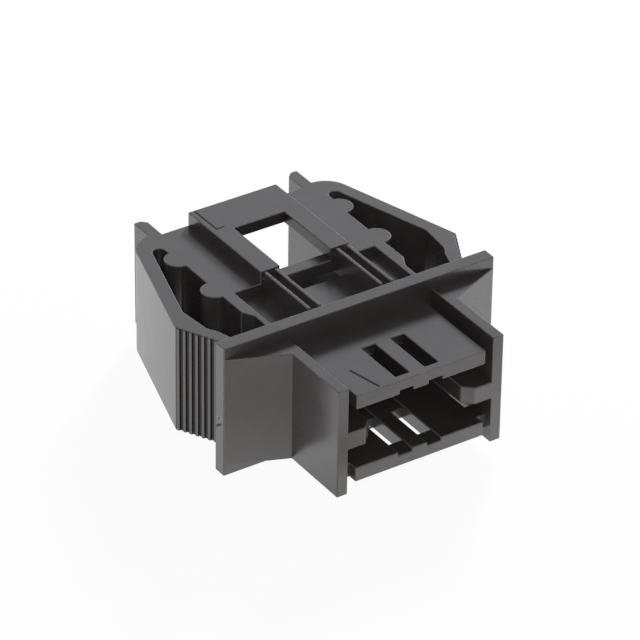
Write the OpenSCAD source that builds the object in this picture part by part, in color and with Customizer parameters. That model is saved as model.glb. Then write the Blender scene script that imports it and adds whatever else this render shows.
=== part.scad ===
// Panel-mount housing of a wire-to-wire connector, moulded in one piece.
// A two-way socket faces -Y, the wire-side opening faces +Y, and the two spring arms snap
// behind a panel that seats on the rear face of the flange. The left and right halves mirror
// each other. The latch bridge and its rails are on the upper side only.

/* [Flange] */
// Width of the flange plate
flange_w = 23.4; // [22:0.1:28]
// Height of the flange plate, whose top the latch bridge and rails are flush with
flange_h = 10.9; // [10.6:0.1:12]
// Thickness of the flange plate
flange_t = 1.13; // [0.8:0.01:2]

/* [Body behind the flange] */
// Width over the outer faces of the side walls, and over the socket walls
body_w = 14.2; // [13.6:0.1:15.4]
// Height of the side walls, the decks and the spring arms
side_h = 8.8; // [8.4:0.1:9.2]
// Thickness of the side walls
side_t = 0.98; // [0.7:0.02:1.3]
// Length from the panel seat to the rear edge of the decks
body_l = 16; // [15.4:0.1:20]
// Thickness of the decks that close the body above and below
deck_t = 1.06; // [0.8:0.02:1.3]
// Length of the open cells between the panel seat and the decks
cell_l = 6.2; // [5.6:0.02:7]
// How far the side walls run on past the decks as guide fins
fin_l = 2.4; // [1:0.02:4]
// How far the fins stand out from the side walls
fin_out = 0.12; // [0:0.02:0.3]
// Lead-in chamfer at the inner rear edge of each fin
fin_chamfer = 0.42; // [0.1:0.02:0.6]
// Thickness left in the side wall beside the tip of each arm
relief_t = 0.44; // [0.3:0.02:0.6]
// Length of that thinned stretch, from the panel seat
relief_l = 2.76; // [1.5:0.02:3.2]
// Length of the slope from the thinned stretch up to the full wall
relief_slope = 1; // [0.4:0.05:1.4]

/* [Latch bridge] */
// Width of the raised latch bridge
bridge_w = 7.74; // [7:0.02:8.6]
// Thickness of the bridge plate
bridge_t = 0.97; // [0.6:0.01:1.2]
// Thickness of the bridge side walls
bridge_wall = 0.65; // [0.4:0.05:0.8]
// Width of the latch window
window_w = 4.4; // [3.6:0.05:5]
// Length of the bridge plate behind the window
rear_bar_l = 3.6; // [2.5:0.02:4.5]
// How far the rear face of the bridge stands out past the deck
bridge_out = 0.1; // [0:0.02:0.3]
// Length of the low cross-bar at the front of the window
cross_bar_l = 1.08; // [0.6:0.02:1.6]

/* [Rails] */
// Width of each rail between the bridge and the flange
rail_w = 1.18; // [1.1:0.02:1.6]
// How far the outer faces of the rails are set in from the sides of the bridge
rail_inset = 0.16; // [0:0.02:0.3]
// Width of the groove along the top of a rail
rail_groove_w = 0.64; // [0.4:0.02:0.9]
// Depth of that groove
rail_groove_d = 0.6; // [0.2:0.05:1]
// Gap between the ends of the two ridges and what they run up to
rail_end_gap = 0.2; // [0.1:0.02:0.5]

/* [Socket] */
// Length of the socket in front of the flange
socket_l = 7.8; // [6.5:0.02:10]
// Height of the socket side walls and of the gussets
socket_h = 8.98; // [8.4:0.02:10]
// Thickness of the socket side walls
socket_wall = 0.9; // [0.6:0.02:1.2]
// Clear height between the upper and lower tongues
mouth_h = 4.98; // [4.6:0.02:5.6]
// Thickness of each tongue
tongue_t = 1.18; // [0.8:0.02:1.3]
// Gap between a tongue and the socket walls
tongue_gap = 0.66; // [0.3:0.02:1]
// How far the tongues run on behind the panel seat, as floors of the cells
tongue_rear_l = 5.02; // [3:0.02:5.4]
// Length of the ties that join the lower tongue to the socket walls
tie_l = 1.58; // [0.8:0.02:2]
// Distance from the front edge of the lower tongue to these ties
tie_setback = 0.76; // [0.4:0.02:1.4]
// How far the gussets come forward along the socket walls
gusset_l = 1.9; // [1:0.05:3]

/* [Contact slots] */
// Distance between the two contact ways
pitch = 2.5; // [2.2:0.05:3]
// Width of the slot through each tongue
slot_w = 1.18; // [0.6:0.02:1.2]
// Distance from the flange to the rear end of the slots
slot_rear = 2.8; // [2:0.05:3.4]
// Distance from the front edge of the upper tongue to its slots
upper_setback = 0.62; // [0.4:0.02:1.2]
// Distance from the front edge of the lower tongue to its slots
lower_setback = 1.62; // [0.4:0.02:2]
// Width of the channel along the inner face of a tongue
channel_w = 1.18; // [1:0.02:1.4]
// Depth of that channel
channel_d = 0.3; // [0.2:0.02:0.6]

/* [Keying ribs] */
// Height of the rib inside each socket wall
rib_h = 1.4; // [0.8:0.05:2]
// How far a rib reaches in from its wall
rib_reach = 2.22; // [1.2:0.02:2.6]
// Chamfer at the inner front edge of a rib
rib_chamfer = 0.76; // [0.3:0.02:1]

/* [Spring arms] */
// Width over the corners of the two arms
arm_span = 24.5; // [23.8:0.02:26]
// Thickness of an arm
arm_t = 1.12; // [0.8:0.02:1.3]
// Distance from the panel seat to the corner of an arm
corner_y = 4.46; // [4:0.02:5.2]
// Radius round the root of an arm
root_r = 2.2; // [2:0.05:2.5]
// Distance from the panel seat to the centre of that radius
root_y = 14.14; // [13.6:0.02:14.6]
// Radius of the round end of the pocket beside an arm
pocket_r = 0.5; // [0.4:0.02:0.6]
// Distance from the panel seat to the centre of that round end
pocket_y = 13.9; // [13.6:0.02:14.2]
// Angle between the serrated ramp and the length of the housing
ramp_angle = 27.6; // [20:0.2:30]
// Thickness behind the ramp where the tip begins
tip_t = 1.18; // [1:0.02:1.4]
// Thickness at the end of the tip
tip_end_t = 0.86; // [0.6:0.02:1]
// Gap between the tip and the panel seat
tip_gap = 0.74; // [0.5:0.02:1.4]
// Distance from the panel seat to where the inner face of an arm starts to thicken
heel_y = 6.02; // [5.6:0.02:7]
// Distance from the panel seat to the neck between heel and tip
neck_y = 3.3; // [3:0.02:3.6]
// How far the inner face leans in between heel and neck
heel_lean = 0.28; // [0.1:0.02:0.5]
// Distance from the panel seat to where the tip begins
tip_y = 2.5; // [2.1:0.02:2.8]
// Distance between two serration grooves along the ramp
serration_pitch = 0.516; // [0.4:0.002:0.8]
// Width of a serration groove
serration_w = 0.3; // [0.15:0.01:0.36]
// Depth of a serration groove
serration_d = 0.12; // [0.05:0.01:0.3]
// Distance from the corner to the first groove
serration_start = 0.46; // [0.3:0.02:0.8]

/* [Arm stops] */
// Radius of the stops on the side walls
stop_r = 1.08; // [0.6:0.02:1.2]
// Distance from the panel seat to the front stop
front_stop_y = 7.34; // [6.6:0.02:8]
// Distance from the panel seat to the rear stop
rear_stop_y = 12.36; // [11.6:0.02:12.8]

/* [Hidden] */
$fn = 64;
lap = 0.05;
shell_color = [0.20, 0.20, 0.21];

// Heights above the middle plane
flange_z = flange_h / 2;
side_z = side_h / 2;
socket_z = socket_h / 2;
mouth_z = mouth_h / 2;
tongue_z = mouth_z + tongue_t;
deck_z = side_z - deck_t;
bridge_z = flange_z - bridge_t;
cell_floor_z = max(tongue_z, deck_z + 0.3);

// Places across the housing
body_x = body_w / 2;
side_x = body_x - side_t;
socket_x = body_x - socket_wall;
tongue_x = socket_x - tongue_gap;
bridge_x = bridge_w / 2;
rail_x = bridge_x - rail_inset;
relief_x = side_x + relief_t;

// Places along the housing, from the panel seat at y = 0
front_y = -flange_t - socket_l;
fin_y = body_l + fin_l;
length_mid = (front_y + fin_y) / 2;
window_rear_y = body_l - rear_bar_l;
slot_rear_y = -flange_t - slot_rear;
bridge_rear_y = body_l + bridge_out;

// Outer line of an arm: tangent to the root circle and through the corner
corner = [arm_span / 2, corner_y];
root = [body_x, root_y];
root_to_corner = norm(corner - root);
lean = asin(root_r / root_to_corner) - atan2(corner[0] - root[0], root[1] - corner[1]);
arm_out = [cos(lean), -sin(lean)];
arm_along = [-sin(lean), -cos(lean)];
root_tangent = root + root_r * arm_out;

// Point on the inner line of an arm at a given place along the housing
function inner_point(y, inset = 0) =
    let (start = root_tangent - (arm_t + inset) * arm_out)
    start + arm_along * (start[1] - y) / cos(lean);

// The ramp runs from the corner in towards the flange
ramp_along = [-sin(ramp_angle), -cos(ramp_angle)];
ramp_out = [cos(ramp_angle), -sin(ramp_angle)];
function ramp_point(y, inset = 0) =
    let (start = corner - inset * ramp_out)
    start + ramp_along * (start[1] - y) / cos(ramp_angle);
ramp_l = (corner_y - tip_gap) / cos(ramp_angle);
serration_count = floor((ramp_l - serration_start) / serration_pitch);

heel = inner_point(heel_y);
neck = [heel[0] - heel_lean, neck_y];

// Round end of the pocket, touching the inner line of the arm
pocket_end = inner_point(pocket_y, pocket_r);

module both_sides() {
    children();
    mirror([1, 0, 0]) children();
}

// Box between two opposite corners
module block(low, high) {
    translate(low) cube(high - low);
}

// Prism standing on both sides of the middle plane
module upright(height) {
    linear_extrude(height = height, center = true) children();
}

module flange() {
    difference() {
        block([-flange_w / 2, -flange_t, -flange_z], [flange_w / 2, 0, flange_z]);
        block([-side_x, -flange_t - lap, -mouth_z], [side_x, lap, mouth_z]);
    }
}

module gusset() {
    upright(socket_h)
        polygon([
            [flange_w / 2, -flange_t + lap],
            [flange_w / 2, -flange_t],
            [body_x, -flange_t - gusset_l],
            [body_x - socket_wall / 2, -flange_t - gusset_l],
            [body_x - socket_wall / 2, -flange_t + lap]
        ]);
}

module socket_side() {
    block([socket_x, front_y, -socket_z], [body_x, -flange_t + lap, socket_z]);
    upright(rib_h)
        polygon([
            [socket_x + lap, front_y],
            [socket_x - rib_reach + rib_chamfer, front_y],
            [socket_x - rib_reach, front_y + rib_chamfer],
            [socket_x - rib_reach, -flange_t],
            [socket_x + lap, -flange_t]
        ]);
}

// Tongue above the socket mouth, which runs on through the flange as the floor of the cells
module tongue(setback) {
    difference() {
        union() {
            block([-tongue_x, front_y, mouth_z], [tongue_x, -flange_t + lap, tongue_z]);
            block([-side_x - lap, -lap, mouth_z], [side_x + lap, tongue_rear_l, tongue_z]);
        }
        for (side = [-1, 1])
            translate([side * pitch / 2, 0, 0]) {
                block([-channel_w / 2, front_y - lap, mouth_z - lap],
                      [channel_w / 2, -flange_t, mouth_z + channel_d]);
                block([-slot_w / 2, front_y + setback, mouth_z - lap],
                      [slot_w / 2, slot_rear_y, tongue_z + lap]);
            }
    }
}

// Side wall in plan, thinned beside the arm's tip and drawn out at the rear as a fin
module side_wall() {
    upright(side_h)
        polygon([
            [side_x, -lap],
            [relief_x, -lap],
            [relief_x, relief_l],
            [body_x, relief_l + relief_slope],
            [body_x, body_l],
            [body_x + fin_out, body_l],
            [body_x + fin_out, fin_y],
            [side_x + fin_out + fin_chamfer, fin_y],
            [side_x + fin_out, fin_y - fin_chamfer],
            [side_x + fin_out, body_l],
            [side_x, body_l]
        ]);
}

module arm_stops() {
    for (y = [front_stop_y, rear_stop_y])
        upright(side_h)
            intersection() {
                translate([body_x, y]) circle(stop_r);
                translate([body_x - side_t / 2, y - stop_r]) square(2 * stop_r);
            }
}

// Spring arm in plan, solid from the root to the tip
module arm_outline() {
    difference() {
        union() {
            translate(root) circle(root_r);
            polygon([
                root,
                root_tangent,
                corner,
                ramp_point(tip_gap),
                ramp_point(tip_gap, tip_end_t),
                ramp_point(tip_y, tip_t),
                neck,
                heel,
                inner_point(pocket_y)
            ]);
        }
        translate([body_x - root_r - lap, root_y - root_r - lap])
            square([root_r + lap - side_t / 2, 2 * (root_r + lap)]);
        // Pocket between the arm and the side wall
        translate(pocket_end) circle(pocket_r);
        polygon([
            pocket_end - [pocket_r, 0],
            pocket_end + pocket_r * arm_out,
            inner_point(pocket_y - root_r),
            [pocket_end[0] - pocket_r, pocket_y - root_r]
        ]);
        serrations();
    }
}

// Grooves across the ramp that grip panels of different thickness
module serrations() {
    for (i = [0 : serration_count - 1]) {
        middle = corner + ramp_along * (serration_start + i * serration_pitch);
        polygon([
            middle + ramp_along * serration_w / 2 + ramp_out * lap,
            middle - ramp_along * serration_w / 2 + ramp_out * lap,
            middle - ramp_along * serration_w / 2,
            middle - ramp_along * serration_w / 3 - ramp_out * serration_d,
            middle + ramp_along * serration_w / 3 - ramp_out * serration_d,
            middle + ramp_along * serration_w / 2
        ]);
    }
}

module spring_arm() {
    upright(side_h) arm_outline();
}

// Ties between the lower tongue and the socket walls
module tongue_ties() {
    both_sides()
        block([tongue_x - lap, front_y + tie_setback, mouth_z],
              [socket_x + lap, front_y + tie_setback + tie_l, tongue_z]);
}

// Deck between the side walls, with two webs that run on from it to the flange and thin floors
// that close the outer cells between it and the tongue
module deck(web_z) {
    block([-side_x - lap, cell_l, deck_z], [side_x + lap, body_l, side_z]);
    both_sides() {
        block([rail_x - rail_w, -lap, deck_z], [rail_x, cell_l + lap, web_z]);
        block([rail_x - lap, tongue_rear_l - lap, deck_z], [side_x + lap, cell_l + lap, cell_floor_z]);
    }
}

// Upper deck with the raised latch bridge and its window, and the webs drawn up as rails
module latch_deck() {
    difference() {
        union() {
            deck(flange_z);
            block([-bridge_x, cell_l, deck_z], [bridge_x, bridge_rear_y, flange_z]);
        }
        // Latch channel under the bridge plate
        block([-bridge_x + bridge_wall, cell_l + cross_bar_l, deck_z - lap],
              [bridge_x - bridge_wall, bridge_rear_y + lap, bridge_z]);
        // Window down into the channel, open at the front above the cross-bar
        block([-window_w / 2, cell_l + cross_bar_l, deck_z],
              [window_w / 2, window_rear_y, flange_z + lap]);
        block([-window_w / 2, cell_l - lap, side_z],
              [window_w / 2, window_rear_y, flange_z + lap]);
        both_sides() rail_cuts();
    }
}

// Groove along a rail and the notches that stop its ridges short
module rail_cuts() {
    middle_x = rail_x - rail_w / 2;
    floor_z = flange_z - rail_groove_d;
    block([middle_x - rail_groove_w / 2, 0, floor_z],
          [middle_x + rail_groove_w / 2, cell_l, flange_z + lap]);
    for (y = [0, cell_l - rail_end_gap])
        block([rail_x - rail_w - lap, y, floor_z],
              [rail_x + lap, y + rail_end_gap, flange_z + lap]);
}

module housing() {
    color(shell_color)
        translate([0, -length_mid, flange_z]) {
            flange();
            both_sides() {
                gusset();
                socket_side();
                side_wall();
                arm_stops();
                spring_arm();
            }
            tongue(upper_setback);
            latch_deck();
            mirror([0, 0, 1]) {
                tongue(lower_setback);
                tongue_ties();
                deck(side_z);
            }
        }
}

housing();
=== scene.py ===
import math

import bmesh
import bpy
from mathutils import Matrix, Vector


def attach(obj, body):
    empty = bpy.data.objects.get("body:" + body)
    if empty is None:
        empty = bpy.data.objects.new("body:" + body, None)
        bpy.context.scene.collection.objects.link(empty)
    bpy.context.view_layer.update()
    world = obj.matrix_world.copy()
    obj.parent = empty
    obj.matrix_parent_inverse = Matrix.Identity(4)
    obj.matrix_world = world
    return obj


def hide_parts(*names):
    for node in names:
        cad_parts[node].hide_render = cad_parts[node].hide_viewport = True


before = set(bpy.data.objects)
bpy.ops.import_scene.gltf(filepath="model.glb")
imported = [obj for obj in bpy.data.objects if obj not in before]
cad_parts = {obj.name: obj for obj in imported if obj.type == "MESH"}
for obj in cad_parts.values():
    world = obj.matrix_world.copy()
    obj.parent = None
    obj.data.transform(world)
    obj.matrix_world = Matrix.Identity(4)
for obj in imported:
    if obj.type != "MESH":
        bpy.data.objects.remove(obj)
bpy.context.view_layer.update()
mm = 0.001
print("frame: housing loaded")


# small helpers for objects and node trees
def linkedObject(name, data):
    made = bpy.data.objects.new(name, data)
    bpy.context.scene.collection.objects.link(made)
    return made


def emptyTree(owner):
    owner.use_nodes = True
    owner.node_tree.nodes.clear()
    return owner.node_tree


def addNode(tree, kind, **values):
    made = tree.nodes.new(kind)
    for name, value in values.items():
        setattr(made, name, value)
    return made


# another node's output is linked, a constant is set
def feed(tree, socket, value):
    if isinstance(value, bpy.types.NodeSocket):
        tree.links.new(value, socket)
    else:
        socket.default_value = value


def mathNode(tree, operation, *values, clamp=False):
    made = addNode(tree, "ShaderNodeMath", operation=operation, use_clamp=clamp)
    for socket, value in zip(made.inputs, values):
        feed(tree, socket, value)
    return made.outputs[0]


def largest(tree, first, *others):
    for other in others:
        first = mathNode(tree, "MAXIMUM", first, other)
    return first


def vectorNode(tree, operation, first, second):
    made = addNode(tree, "ShaderNodeVectorMath", operation=operation)
    feed(tree, made.inputs[0], first)
    feed(tree, made.inputs["Scale" if operation == "SCALE" else 1], second)
    return made.outputs["Value" if operation in ("DOT_PRODUCT", "DISTANCE") else "Vector"]


def noiseNode(tree, coords, scale, detail, rough=0.5):
    made = addNode(tree, "ShaderNodeTexNoise")
    made.inputs["Scale"].default_value = scale
    made.inputs["Detail"].default_value = detail
    made.inputs["Roughness"].default_value = rough
    feed(tree, made.inputs["Vector"], coords)
    return made.outputs["Fac"]


# turns the range taken into the range given, and holds at its ends
def rangeNode(tree, value, taken, given, smooth=False):
    made = addNode(tree, "ShaderNodeMapRange", clamp=True)
    if smooth:
        made.interpolation_type = "SMOOTHSTEP"
    feed(tree, made.inputs["Value"], value)
    for name, number in zip(("From Min", "From Max", "To Min", "To Max"), (*taken, *given)):
        made.inputs[name].default_value = number
    return made.outputs["Result"]


def attributeNode(tree, name):
    return addNode(tree, "ShaderNodeAttribute", attribute_name=name).outputs["Fac"]


def colourMix(tree, share, first, second):
    made = addNode(tree, "ShaderNodeMix", data_type="RGBA")
    for name, value in zip(("Factor", "A", "B"), (share, first, second)):
        feed(tree, made.inputs[name], value)
    return made.outputs["Result"]


def shaderMix(tree, share, first, second):
    made = addNode(tree, "ShaderNodeMixShader")
    for socket, value in zip(made.inputs, (share, first, second)):
        feed(tree, socket, value)
    return made.outputs["Shader"]


def bumpNode(tree, height, strength, depth, invert=False):
    made = addNode(tree, "ShaderNodeBump", invert=invert)
    made.inputs["Strength"].default_value = strength
    made.inputs["Distance"].default_value = depth * mm
    feed(tree, made.inputs["Height"], height)
    return made


# how near a point is to a straight line, 1 on its core and 0 a line's width away
def lineMask(tree, coords, start, end, width, core=0.35):
    start, along = Vector(start), Vector(end) - Vector(start)
    fromStart = vectorNode(tree, "SUBTRACT", coords, start)
    onLine = vectorNode(tree, "DOT_PRODUCT", fromStart, along / along.length_squared)
    share = mathNode(tree, "MULTIPLY", onLine, 1.0, clamp=True)
    nearest = vectorNode(tree, "SCALE", along, share)
    away = vectorNode(tree, "DISTANCE", fromStart, nearest)
    return rangeNode(tree, away, (width * core, width), (1.0, 0.0), smooth=True)


# camera: where it stands and how it is turned
cameraView = {
    "place": (-154.906, -231.452, 183.553),  # mm, from the middle of the underside
    "azimuth": 33.8614,  # degrees off the length of the housing
    "elevation": 32.4859,  # degrees below the level, looking down
    "roll": 0.8429,
    "lens": 253.125,
    "sensor": 36.0,
    "clip": (0.01, 20.0),  # m
}


def addCamera(view):
    az, el, roll = (math.radians(view[name]) for name in ("azimuth", "elevation", "roll"))
    level = math.cos(el)
    ahead = Vector((math.sin(az) * level, math.cos(az) * level, -math.sin(el)))
    side = Vector((math.cos(az), -math.sin(az), 0.0))
    top = side.cross(ahead)
    right = side * math.cos(roll) + top * math.sin(roll)
    up = top * math.cos(roll) - side * math.sin(roll)
    lens = bpy.data.cameras.new("studioCamera")
    lens.lens = view["lens"]
    lens.sensor_width = view["sensor"]
    lens.clip_start, lens.clip_end = view["clip"]
    camera = linkedObject("studioCamera", lens)
    turn = Matrix((right, up, -ahead)).transposed().to_4x4()
    camera.matrix_world = Matrix.Translation(Vector(view["place"]) * mm) @ turn
    bpy.context.scene.camera = camera


addCamera(cameraView)
print("camera: set")

# satin charcoal plastic: fine grain, painted highlights on the rounded edges, lighter scrapes,
# dark scuffs, and the mould's lines and rough walls darkened as painted shade
charcoal = {
    "dark": (0.070, 0.068, 0.070, 1.0),
    "light": (0.082, 0.080, 0.083, 1.0),
    # painted highlight of the rounded edges, and the lighter colour of the scrapes
    "scrapedAndHighlit": (0.240, 0.236, 0.243, 1.0),
    "shadeAndScuffColour": (0.012, 0.012, 0.012, 1.0),  # painted shade that the mould lines and rough walls tend to, and the colour of the scuffs
    "ior": 2.0,
    "sheen": (0.5, 0.05),  # specular level of a plain and of a dull place
    "roughness": (0.18, 0.26),
    "satinRange": (0.3, 0.7),  # tones between which the roughness changes
    "toneRange": (0.36, 0.64),  # and the colour
    "toneShares": (0.6, 0.4),  # of the clouds and of the specks
    "cloudScale": 0.5,  # per mm
    "cloudDetail": 3.0,
    "speckScale": 7.0,
    "speckDetail": 2.0,
    "speckRange": (0.35, 0.65),
    "edgeLightShares": (0.35, 0.9),  # least and most painted highlight on a rounded edge
    "edgeDull": 0.25,  # share of the sheen that it lacks
    "edgeRoughness": 0.42,
    "grainScale": 16.0,
    "grainDetail": 3.0,
    "grainRoughness": 0.6,
    "grainStrength": 0.35,
    "grainDepth": 0.006,  # mm
    "lineStrength": 0.6,
    "lineDepth": 0.06,  # mm
    "lineDark": 0.85,
    "roughDull": 0.9,  # share of the sheen that the rough grooves and slots lack
    "shadeDarkening": 0.6,  # and how far their colour is darkened as painted shade
    # mould lines darkened as painted shade of their small steps, and real scuffs
    "shadedLinesAndScuffs": (  # start, end, width in mm
        ((-3.445, 11.11, 10.9), (-3.41, 8.16, 10.9), 0.11),
        ((-3.41, 8.16, 10.9), (-2.78, 8.23, 10.9), 0.11),
        ((-4.14, -10.67, 9.12), (-3.54, -13.40, 9.12), 0.12),
        ((-11.7, -5.48, 4.30), (-11.7, -5.02, 3.94), 0.15),  # scuffs on the end of the flange
        ((-11.7, -5.26, 4.78), (-11.7, -5.20, 4.66), 0.07),
    ),
    "scrapes": (  # lighter marks beside the scuffs
        ((-11.7, -5.00, 4.74), (-11.7, -5.12, 4.56), 0.10),
        ((-11.7, -5.40, 4.90), (-11.7, -5.56, 4.72), 0.09),
        ((-11.7, -5.28, 4.50), (-11.7, -5.46, 4.46), 0.09),
    ),
}


def makeCharcoal(finish):
    material = bpy.data.materials.new("charcoalPlastic")
    tree = emptyTree(material)
    out = addNode(tree, "ShaderNodeOutputMaterial")
    shader = addNode(tree, "ShaderNodeBsdfPrincipled")
    shader.inputs["IOR"].default_value = finish["ior"]
    feed(tree, out.inputs["Surface"], shader.outputs["BSDF"])
    place = addNode(tree, "ShaderNodeTexCoord")
    scaled = addNode(tree, "ShaderNodeMapping")
    scaled.inputs["Scale"].default_value = (1.0 / mm, 1.0 / mm, 1.0 / mm)  # metres to mm
    feed(tree, scaled.inputs["Vector"], place.outputs["Object"])
    coords = scaled.outputs["Vector"]

    cloud = noiseNode(tree, coords, finish["cloudScale"], finish["cloudDetail"])
    speck = noiseNode(tree, coords, finish["speckScale"], finish["speckDetail"])
    cloudPart, speckPart = (
        mathNode(tree, "MULTIPLY", noise, share)
        for noise, share in zip((cloud, speck), finish["toneShares"])
    )
    tone = mathNode(tree, "ADD", cloudPart, speckPart)
    body = addNode(tree, "ShaderNodeValToRGB")
    colours = (finish["dark"], finish["light"])
    for stop, position, colour in zip(body.color_ramp.elements, finish["toneRange"], colours):
        stop.position = position
        stop.color = colour
    feed(tree, body.inputs["Fac"], tone)

    # painted highlight on the rounded edges, patchy with the specks, joined with the real scrapes
    litEdge = attributeNode(tree, "edgeHighlight")
    patchy = rangeNode(tree, speck, finish["speckRange"], finish["edgeLightShares"])
    scrapes = [lineMask(tree, coords, *scrape) for scrape in finish["scrapes"]]
    scrapesAndHighlight = largest(tree, mathNode(tree, "MULTIPLY", litEdge, patchy), *scrapes)
    scrapedAndHighlit = colourMix(tree, scrapesAndHighlight, body.outputs["Color"], finish["scrapedAndHighlit"])

    # mould lines painted dark as the shade of their small steps, and the scuffs
    lines = largest(tree, *(lineMask(tree, coords, *line) for line in finish["shadedLinesAndScuffs"]))
    # rough grooves, slots and a window wall: duller, and their colour darkened as painted shade
    rough = attributeNode(tree, "rough")
    shadeAndScuffs = mathNode(
        tree,
        "MAXIMUM",
        mathNode(tree, "MULTIPLY", lines, finish["lineDark"]),
        mathNode(tree, "MULTIPLY", rough, finish["shadeDarkening"]),
    )
    feed(tree, shader.inputs["Base Color"], colourMix(tree, shadeAndScuffs, scrapedAndHighlit, finish["shadeAndScuffColour"]))

    # lines and rough faces hardly mirror anything, rounded edges with their painted highlight a
    # little less than the rest
    dull = largest(
        tree,
        lines,
        mathNode(tree, "MULTIPLY", rough, finish["roughDull"]),
        mathNode(tree, "MULTIPLY", litEdge, finish["edgeDull"]),
    )
    sheen = rangeNode(tree, dull, (0.0, 1.0), finish["sheen"])
    feed(tree, shader.inputs["Specular IOR Level"], sheen)
    satin = rangeNode(tree, tone, finish["satinRange"], finish["roughness"])
    matted = mathNode(tree, "MULTIPLY", litEdge, finish["edgeRoughness"])
    feed(tree, shader.inputs["Roughness"], largest(tree, satin, matted))

    grain = noiseNode(
        tree, coords, finish["grainScale"], finish["grainDetail"], finish["grainRoughness"]
    )
    grainBump = bumpNode(tree, grain, finish["grainStrength"], finish["grainDepth"])
    lineBump = bumpNode(tree, lines, finish["lineStrength"], finish["lineDepth"], invert=True)
    feed(tree, lineBump.inputs["Normal"], grainBump.outputs["Normal"])
    feed(tree, shader.inputs["Normal"], lineBump.outputs["Normal"])
    return material


# housing: the CAD solid's surface with its outer edges rounded as the mould leaves them
housingEdges = {
    "weld": 0.001,  # mm
    "flatWithin": 0.3,  # degrees
    "curveStep": 15.0,  # most that two strips of one curved face turn
    "sharpOver": 28.0,  # turn of an edge that gets rounded
    "stripStep": 50.0,  # most that two strips of a rounded edge turn
    "radius": 0.08,  # mm
    "steps": 2,
    # painted highlight on the rounded strips: full on the small edges, half at the arm corners
    "edgeHighlight": 1.0,
    "room": 2.3,  # radii of flat beside an edge, or it stays sharp
    "cornerWithin": 0.03,  # mm, at the outer corner of each arm
    "cornerOffset": 0.16,
    "cornerSteps": 4,
    "cornerHighlight": 0.5,
}

# the serrated ramps of the arms, whose grooves are duller and darkened as painted shade
ramps = {
    "corner": (12.25, -0.275),  # mm
    "angle": 27.6,  # degrees off the length of the housing
    "length": 4.2,
    "grooves": (0.02, 0.13),  # mm below the ramp
    "facing": 0.2,  # least that a groove's wall faces outwards
}

# other upright walls that are duller and darkened as painted shade: from, to in mm, and how much
roughAndShadedWalls = {
    "upright": 0.1,  # most that a wall leans
    "boxes": (
        ((-2.0, -13.0, 7.9), (2.0, -8.6, 9.1), 1.0),  # the slots through the upper tongue
        ((2.1, 1.0, 8.0), (2.3, 7.6, 10.9), 0.75),  # the right-hand wall of the window
    ),
}


def atCorner(vert, ramp, within):
    place = Vector((abs(vert.co.x), vert.co.y)) / mm
    return (place - Vector(ramp["corner"])).length < within


def inGroove(face, ramp):
    middle = face.calc_center_median() / mm
    side = math.copysign(1.0, middle.x)
    turn = math.radians(ramp["angle"])
    out = Vector((side * math.cos(turn), -math.sin(turn), 0.0))
    down = Vector((-side * math.sin(turn), -math.cos(turn), 0.0))
    away = middle - Vector((side * ramp["corner"][0], ramp["corner"][1], middle.z))
    low, high = ramp["grooves"]
    below = low < -away.dot(out) < high
    beside = 0.0 < away.dot(down) < ramp["length"]
    return below and beside and face.normal.dot(out) > ramp["facing"]


def roughAndShadeShare(face, walls, ramp):
    middle = face.calc_center_median() / mm
    if abs(face.normal.z) < walls["upright"]:
        for low, high, share in walls["boxes"]:
            if all(a < b < c for a, b, c in zip(low, middle, high)):
                return share
    return float(inGroove(face, ramp))


# how far a face runs in from the middle of one of its edges
def runBeside(edge, face):
    start = (edge.verts[0].co + edge.verts[1].co) / 2
    along = (edge.verts[1].co - edge.verts[0].co).normalized()
    inward = face.normal.cross(along)
    loop = next(l for l in face.loops if l.edge == edge)
    if loop.vert != edge.verts[0]:
        inward.negate()
    nearest = 1.0  # m, further than any face runs
    for other in face.edges:
        if other == edge:
            continue
        first, last = (v.co - start for v in other.verts)
        a, b = first.dot(along), last.dot(along)
        if a * b < 0.0:
            reach = first.lerp(last, a / (a - b)).dot(inward)
            if reach > 0.0:
                nearest = min(nearest, reach)
    return nearest


# rounds the chosen edges and gives their new strips that much painted highlight
def roundEdges(shape, chosen, offset, steps, litEdge, amount):
    made = bmesh.ops.bevel(
        shape,
        geom=chosen,
        offset=offset * mm,
        offset_type="OFFSET",
        segments=steps,
        profile=0.5,
        affect="EDGES",
        clamp_overlap=False,
        material=-1,
    )
    for face in made["faces"]:
        face.smooth = True
        face[litEdge] = amount


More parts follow.
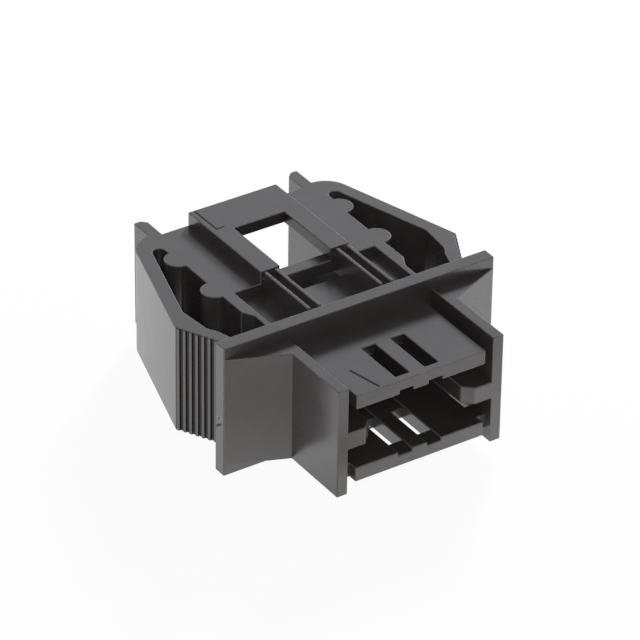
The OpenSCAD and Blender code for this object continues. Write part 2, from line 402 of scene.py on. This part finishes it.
def makeHousing(edges):
    flat, curve, sharp, strip = (
        math.radians(edges[name]) for name in ("flatWithin", "curveStep", "sharpOver", "stripStep")
    )
    shape = bmesh.new()
    shape.from_mesh(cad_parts["housing"].data)
    bmesh.ops.remove_doubles(shape, verts=shape.verts, dist=edges["weld"] * mm)
    bmesh.ops.dissolve_limit(shape, angle_limit=flat, verts=shape.verts, edges=shape.edges)
    for face in shape.faces:  # only the strips of curved faces are shaded smooth
        face.smooth = any(flat < e.calc_face_angle(0.0) < curve for e in face.edges)
    litEdge = shape.faces.layers.float.new("edgeHighlight")

    # the outer corner of each arm is well rounded
    within = edges["cornerWithin"]
    corners = [e for e in shape.edges if all(atCorner(v, ramps, within) for v in e.verts)]
    roundEdges(
        shape, corners, edges["cornerOffset"], edges["cornerSteps"], litEdge, edges["cornerHighlight"]
    )
    # the other outer edges only a little, where there is room
    need = edges["room"] * edges["radius"] * mm
    outer = [
        e
        for e in shape.edges
        if e.is_convex
        and e.calc_face_angle(0.0) > sharp
        and all(runBeside(e, f) > need for f in e.link_faces)
    ]
    roundEdges(shape, outer, edges["radius"], edges["steps"], litEdge, edges["edgeHighlight"])

    strips = {f for f in shape.faces if f[litEdge] > 0.0}
    rough = shape.faces.layers.float.new("rough")
    for face in shape.faces:
        face[rough] = roughAndShadeShare(face, roughAndShadedWalls, ramps)
    mostTurn = (curve, 0.0, strip)  # beside no rounded strip, one and two
    for edge in shape.edges:
        beside = sum(f in strips for f in edge.link_faces)
        edge.smooth = edge.calc_face_angle(0.0) < mostTurn[beside]
    mesh = bpy.data.meshes.new("mouldedHousing")
    shape.to_mesh(mesh)
    shape.free()
    return linkedObject("mouldedHousing", mesh)


housing = makeHousing(housingEdges)
housing.data.materials.clear()
housing.data.materials.append(makeCharcoal(charcoal))
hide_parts("housing")
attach(housing, "root")
print("housing:", len(housing.data.polygons), "faces")

# studio: pale floor, white surroundings, a soft key light behind on the right and a weak fill
studio = {
    "floorSize": 4.0,  # m
    "floorBelow": 0.00002,
    "floorColour": (0.92, 0.90, 0.88, 1.0),
    "floorGlow": 0.95,  # share of plain white that the camera sees in the floor
    "floorMirrored": (0.46, 0.98),  # and that the plastic mirrors, in front and beside
    "floorFades": (-0.018, -0.004),  # m along Y
    "beforeSocket": 0.92,  # and close before the socket, a painted pool of light that its lower edges mirror
    "socketAlong": (-0.0205, -0.0165),
    "socketEnds": (-0.012, -0.010),
    "socketAcross": (-0.0075, -0.0062),
    "farMirrored": 0.95,  # and further in front, painted greyer as shade where the light falls off
    "farGrey": 0.28,
    "farAlong": (-0.024, -0.019),
    "underBody": 0.25,  # part of that share under the body, whose middle and edges follow
    "bodyMiddle": 0.0060,
    "bodyAlong": (0.0062, 0.0077),
    "armAcross": (0.957, 0.29),  # square to the outer face of an arm
    "bodyAcross": (0.0101, 0.0114),
    "worldGrey": 0.14,
    "worldColour": (1.0, 0.86, 0.74, 1.0),
    "white": (1.0, 1.0, 1.0, 1.0),  # what the camera sees behind the floor
    "mirrorColour": (0.94, 0.94, 1.0, 1.0),
    "mirrored": (0.10, 0.53),  # what the plastic mirrors in front, and behind on the right
    "mirrorFades": (0.2, 0.8),  # cosine off the key light
    "mirrorAbove": 0.40,  # and above in front, seen in the upper edges
    "aboveFrom": (0.38, -0.40, 0.83),
    "aboveFades": (0.88, 0.97),
    "aim": (0.0, 0.0, 0.006),  # m, where both lights point
    "keyFrom": (0.65, 0.56, 0.51),
    "keyAway": 0.25,
    "keySize": 0.05,
    "keyPower": 1.03,
    "keyColour": (0.93, 0.94, 1.0),
    "fillFrom": (-0.46, -0.69, 0.55),  # from the camera's side, into the pockets
    "fillAway": 0.6,
    "fillSize": 0.1,
    "fillPower": 0.55,
    "fillColour": (1.0, 0.91, 0.83),
}


def rayKinds(tree):
    rays = addNode(tree, "ShaderNodeLightPath").outputs
    seen = mathNode(tree, "MAXIMUM", rays["Is Camera Ray"], rays["Is Transmission Ray"])
    return seen, rays["Is Glossy Ray"]


# the share of white that the plastic mirrors at a place on the floor, with a painted pool of light
# before the socket, and how far in front it is
def mirroredFloor(tree, room):
    place = addNode(tree, "ShaderNodeTexCoord")
    split = addNode(tree, "ShaderNodeSeparateXYZ")
    feed(tree, split.inputs["Vector"], place.outputs["Object"])
    x, y = split.outputs["X"], split.outputs["Y"]
    share = rangeNode(tree, y, room["floorFades"], room["floorMirrored"], smooth=True)

    fromMiddle = mathNode(tree, "ABSOLUTE", mathNode(tree, "SUBTRACT", y, room["bodyMiddle"]))
    across, slant = room["armAcross"]
    aside = mathNode(
        tree,
        "ADD",
        mathNode(tree, "MULTIPLY", mathNode(tree, "ABSOLUTE", x), across),
        mathNode(tree, "MULTIPLY", y, slant),
    )
    parts = (room["underBody"], 1.0)
    uncovered = mathNode(
        tree,
        "MAXIMUM",
        rangeNode(tree, fromMiddle, room["bodyAlong"], parts),
        rangeNode(tree, aside, room["bodyAcross"], parts),
    )
    share = mathNode(tree, "MULTIPLY", share, uncovered)

    before = mathNode(
        tree,
        "MULTIPLY",
        rangeNode(tree, y, room["socketAlong"], (0.0, room["beforeSocket"]), smooth=True),
        rangeNode(tree, x, room["socketAcross"], (0.0, 1.0), smooth=True),
    )
    ends = rangeNode(tree, y, room["socketEnds"], (1.0, 0.0))
    before = mathNode(tree, "MULTIPLY", before, ends)
    far = rangeNode(tree, y, room["farAlong"], (room["farMirrored"], 0.0), smooth=True)
    return largest(tree, share, before, far), far


def addFloor(room):
    shape = bmesh.new()
    bmesh.ops.create_grid(shape, x_segments=1, y_segments=1, size=room["floorSize"] / 2)
    bmesh.ops.translate(shape, verts=shape.verts, vec=(0.0, 0.0, -room["floorBelow"]))
    mesh = bpy.data.meshes.new("studioFloor")
    shape.to_mesh(mesh)
    shape.free()
    floor = linkedObject("studioFloor", mesh)
    material = bpy.data.materials.new("paleFloor")
    tree = emptyTree(material)
    matt = addNode(tree, "ShaderNodeBsdfDiffuse")
    matt.inputs["Color"].default_value = room["floorColour"]
    white = addNode(tree, "ShaderNodeEmission")
    seen, mirrored = rayKinds(tree)
    share, far = mirroredFloor(tree, room)
    # painted shade: far in front, the glow that the plastic mirrors is greyer
    lost = mathNode(
        tree, "MULTIPLY", mathNode(tree, "MULTIPLY", far, mirrored), room["farGrey"]
    )
    feed(tree, white.inputs["Strength"], mathNode(tree, "SUBTRACT", 1.0, lost))
    glow = mathNode(
        tree,
        "MAXIMUM",
        mathNode(tree, "MULTIPLY", seen, room["floorGlow"]),
        mathNode(tree, "MULTIPLY", mirrored, share),
    )
    out = addNode(tree, "ShaderNodeOutputMaterial")
    blend = shaderMix(tree, glow, matt.outputs["BSDF"], white.outputs["Emission"])
    feed(tree, out.inputs["Surface"], blend)
    mesh.materials.append(material)


def addWorld(room):
    world = bpy.data.worlds.new("studioWorld")
    tree = emptyTree(world)
    seen, mirrored = rayKinds(tree)
    # white behind on the right, dim in front, for what the plastic mirrors
    place = addNode(tree, "ShaderNodeTexCoord").outputs["Generated"]
    toKey, toAbove = (
        vectorNode(tree, "DOT_PRODUCT", place, Vector(room[name]).normalized())
        for name in ("keyFrom", "aboveFrom")
    )
    behind = rangeNode(tree, toKey, room["mirrorFades"], room["mirrored"], smooth=True)
    above = rangeNode(tree, toAbove, room["aboveFades"], (0.0, room["mirrorAbove"]), smooth=True)
    bright = mathNode(tree, "MULTIPLY", mirrored, mathNode(tree, "ADD", behind, above))
    white = addNode(tree, "ShaderNodeBackground")
    feed(tree, white.inputs["Color"], colourMix(tree, seen, room["mirrorColour"], room["white"]))
    feed(tree, white.inputs["Strength"], largest(tree, seen, bright))
    ambient = addNode(tree, "ShaderNodeBackground")
    ambient.inputs["Color"].default_value = room["worldColour"]
    ambient.inputs["Strength"].default_value = room["worldGrey"]
    out = addNode(tree, "ShaderNodeOutputWorld")
    blend = shaderMix(
        tree,
        largest(tree, seen, mirrored),
        ambient.outputs["Background"],
        white.outputs["Background"],
    )
    feed(tree, out.inputs["Surface"], blend)
    bpy.context.scene.world = world


def addLight(room, name):
    lamp = bpy.data.lights.new(name + "Light", "AREA")
    lamp.shape = "DISK"
    lamp.size = room[name + "Size"]
    lamp.energy = room[name + "Power"]
    lamp.color = room[name + "Colour"]
    light = linkedObject(name + "Light", lamp)
    light.location = Vector(room[name + "From"]).normalized() * room[name + "Away"]
    light.rotation_mode = "QUATERNION"
    ahead = Vector(room["aim"]) - light.location
    light.rotation_quaternion = ahead.to_track_quat("-Z", "Y")
    light.visible_glossy = False  # the white surroundings give the sheen


addFloor(studio)
addWorld(studio)
addLight(studio, "key")
addLight(studio, "fill")
bpy.context.scene.view_settings.view_transform = "Standard"
print("studio: floor, world and lights set")
